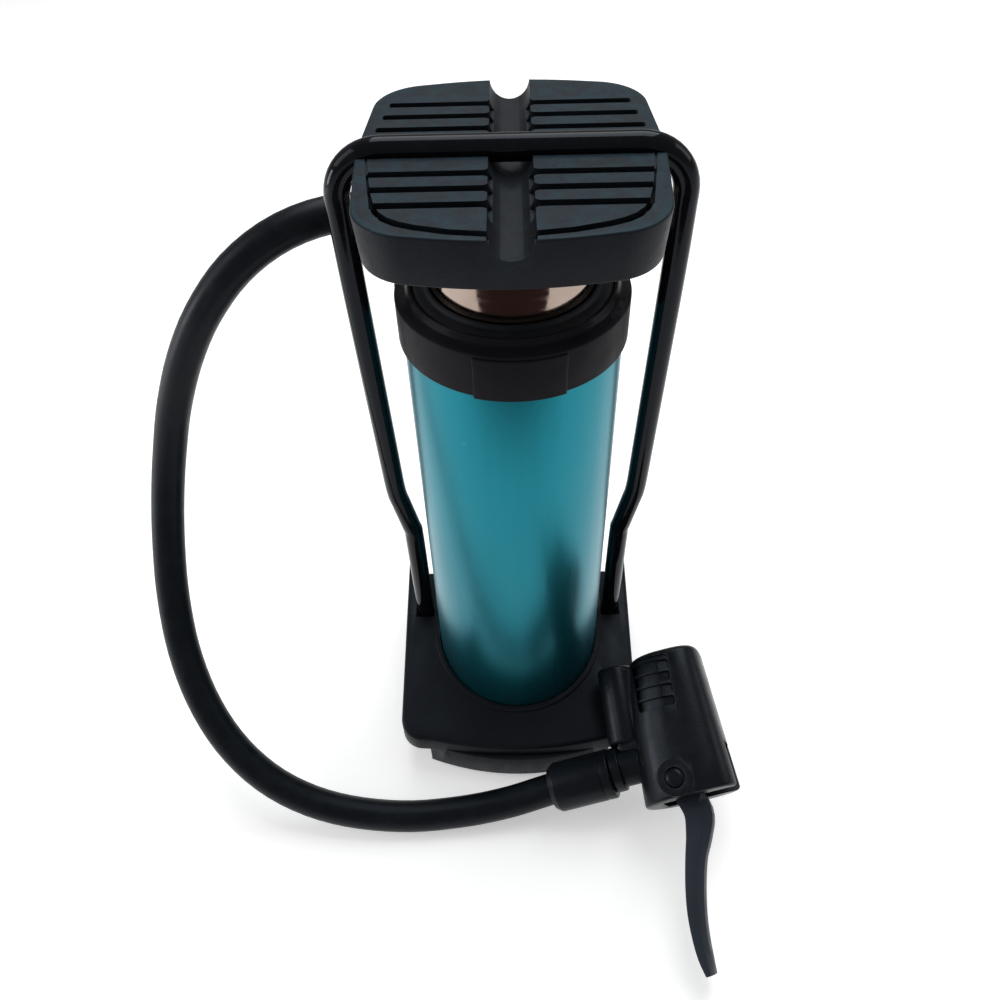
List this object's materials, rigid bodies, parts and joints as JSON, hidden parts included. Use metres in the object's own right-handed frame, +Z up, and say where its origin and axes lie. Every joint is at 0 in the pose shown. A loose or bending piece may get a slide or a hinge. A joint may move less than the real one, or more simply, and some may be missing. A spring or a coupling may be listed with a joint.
{
  "type": "foot air pump",
  "caption": "Single-barrel foot air pump with a wire bail that locks the sprung pedal down, and a rubber hose ending in a lever valve head.",
  "frame": {"origin": "on the floor under the barrel's axis, on the flat underside of the sole pad", "axes": "+Z up along the barrel, +X to the right and +Y to the rear, where the hose leaves the base"},
  "size_m": [0.1761, 0.1564, 0.1959],
  "materials": {
    "base_plastic": "moulded black plastic, fine texture",
    "pedal_plastic": "moulded blue-grey black plastic, fine grain",
    "collar_plastic": "smooth black plastic",
    "seal_rubber": "soft black rubber",
    "bright_steel": "bright plated steel",
    "head_plastic": "satin black plastic",
    "teal_anodised": "anodised teal blue, satin",
    "polished_tube": "polished chromed steel",
    "coated_wire": "gloss black coating on steel wire",
    "hose_rubber": "smooth black rubber hose",
    "lever_plastic": "moulded slate grey plastic"
  },
  "bodies": {
    "base": {"air_hose": "hose_rubber", "barrel_oring": "seal_rubber", "barrel_plug": "base_plastic", "barrel_tube": "teal_anodised", "base_body": "base_plastic", "base_screw_1": "bright_steel", "base_screw_2": "bright_steel", "base_screw_3": "bright_steel", "cam_follower": "base_plastic", "collar_cap": "collar_plastic", "guide_bush": "base_plastic", "head_body": "head_plastic", "head_ferrule": "head_plastic", "lever_pin": "bright_steel", "neck_barb": "head_plastic", "outlet_elbow": "base_plastic", "outlet_ferrule": "collar_plastic", "port_gasket": "seal_rubber", "port_nut": "collar_plastic", "return_spring": "bright_steel", "sole_pad": "seal_rubber", "spring_guide": "base_plastic", "valve_disc": "seal_rubber", "valve_seat": "base_plastic", "valve_spring": "bright_steel", "wiper_ring": "seal_rubber"},
    "plunger": {"plunger_tube": "polished_tube", "pedal": "pedal_plastic", "tube_cap": "base_plastic", "pedal_screw": "bright_steel", "piston_head": "base_plastic", "piston_seal": "seal_rubber"},
    "bail": {"bail_wire": "coated_wire"},
    "lever": {"lever": "lever_plastic"}
  },
  "joints": [
    {"name": "plunger_slide", "type": "slide", "parent": "base", "child": "plunger", "axis": [0, 0, 1], "range_m": [-0.017, 0], "stiffness_N_per_m": 300, "springref_m": 0.105, "deforming": ["return_spring"]},
    {"name": "bail_swing", "type": "hinge", "parent": "base", "child": "bail", "pos_m": [0, 0.008, 0.018], "axis": [-1, 0, 0], "range_deg": [0, 97]},
    {"name": "lever_swing", "type": "hinge", "parent": "base", "child": "lever", "pos_m": [0.04795, -0.05441, 0.02347], "axis": [-0.3091, -0.3096, 0.8992], "range_deg": [0, 90]}
  ]
}
